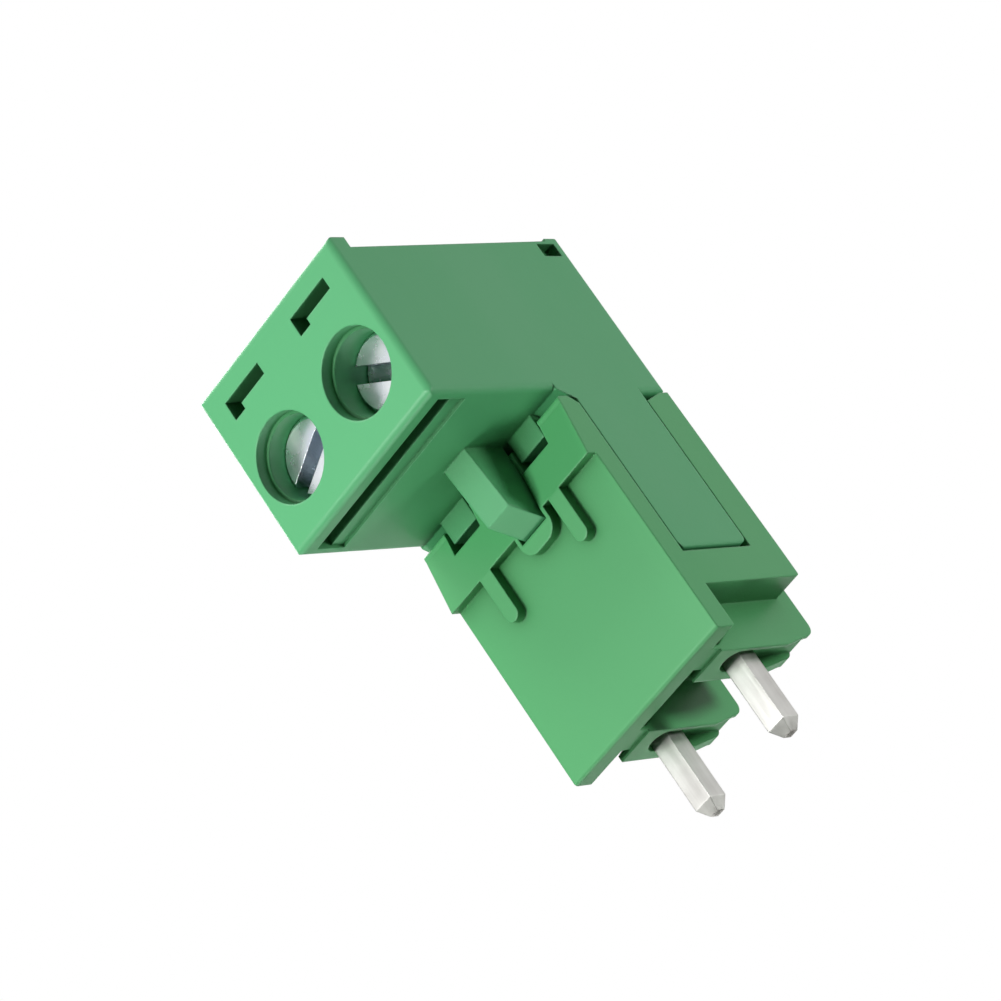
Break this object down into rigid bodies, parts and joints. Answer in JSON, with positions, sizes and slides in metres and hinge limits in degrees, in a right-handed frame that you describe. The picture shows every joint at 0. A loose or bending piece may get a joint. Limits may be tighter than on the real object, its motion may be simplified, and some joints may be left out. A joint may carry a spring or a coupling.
{
  "type": "pcb screw terminal",
  "caption": "Pluggable screw terminal for circuit boards: a green wire plug with rising-cage screw clamps, mated with an upright open-ended header on square solder pins.",
  "frame": {"origin": "on the board surface, midway between the two solder pins", "axes": "+Z away from the board, towards the wire entry; +Y towards the screw heads; +X along the row of poles"},
  "size_m": [0.01, 0.0152, 0.0249],
  "materials": {
    "header_moulding": "injection-moulded polyamide, green, satin",
    "plug_moulding": "injection-moulded polyamide, green, satin",
    "pin_tin": "tin plate over brass, satin",
    "screw_zinc": "bluish zinc plate over steel, turned",
    "cage_zinc": "zinc plate over steel",
    "contact_plate": "tin plate over copper alloy",
    "spring_steel": "bare spring steel"
  },
  "bodies": {
    "header": {"header_housing": "header_moulding", "solder_pin_1": "pin_tin", "solder_pin_2": "pin_tin"},
    "plug": {"plug_housing": "plug_moulding", "contact_1": "contact_plate", "contact_2": "contact_plate", "contact_spring_1": "spring_steel", "contact_spring_2": "spring_steel"},
    "screw_1": {"clamp_screw_1": "screw_zinc"},
    "screw_2": {"clamp_screw_2": "screw_zinc"},
    "cage_1": {"clamp_cage_1": "cage_zinc"},
    "cage_2": {"clamp_cage_2": "cage_zinc"}
  },
  "joints": [
    {"name": "plug_pull", "type": "slide", "parent": "header", "child": "plug", "axis": [0, 0, 1], "range_m": [0, 0.014]},
    {"name": "screw_1_turn", "type": "hinge", "parent": "plug", "child": "screw_1", "pos_m": [-0.00254, 0.0093, 0.01605], "axis": [0, -1, 0], "range_deg": [0, 1621]},
    {"name": "cage_1_rise", "type": "slide", "parent": "plug", "child": "cage_1", "axis": [0, 1, 0], "range_m": [0, 0.00225]},
    {"name": "screw_2_turn", "type": "hinge", "parent": "plug", "child": "screw_2", "pos_m": [0.00254, 0.00955, 0.01605], "axis": [0, -1, 0], "range_deg": [0, 1621]},
    {"name": "cage_2_rise", "type": "slide", "parent": "plug", "child": "cage_2", "axis": [0, 1, 0], "range_m": [0, 0.00225]}
  ],
  "couplings": [
    {"joint": "screw_1_turn", "follows": "cage_1_rise", "rad_per_m": 12566},
    {"joint": "screw_2_turn", "follows": "cage_2_rise", "rad_per_m": 12566}
  ]
}
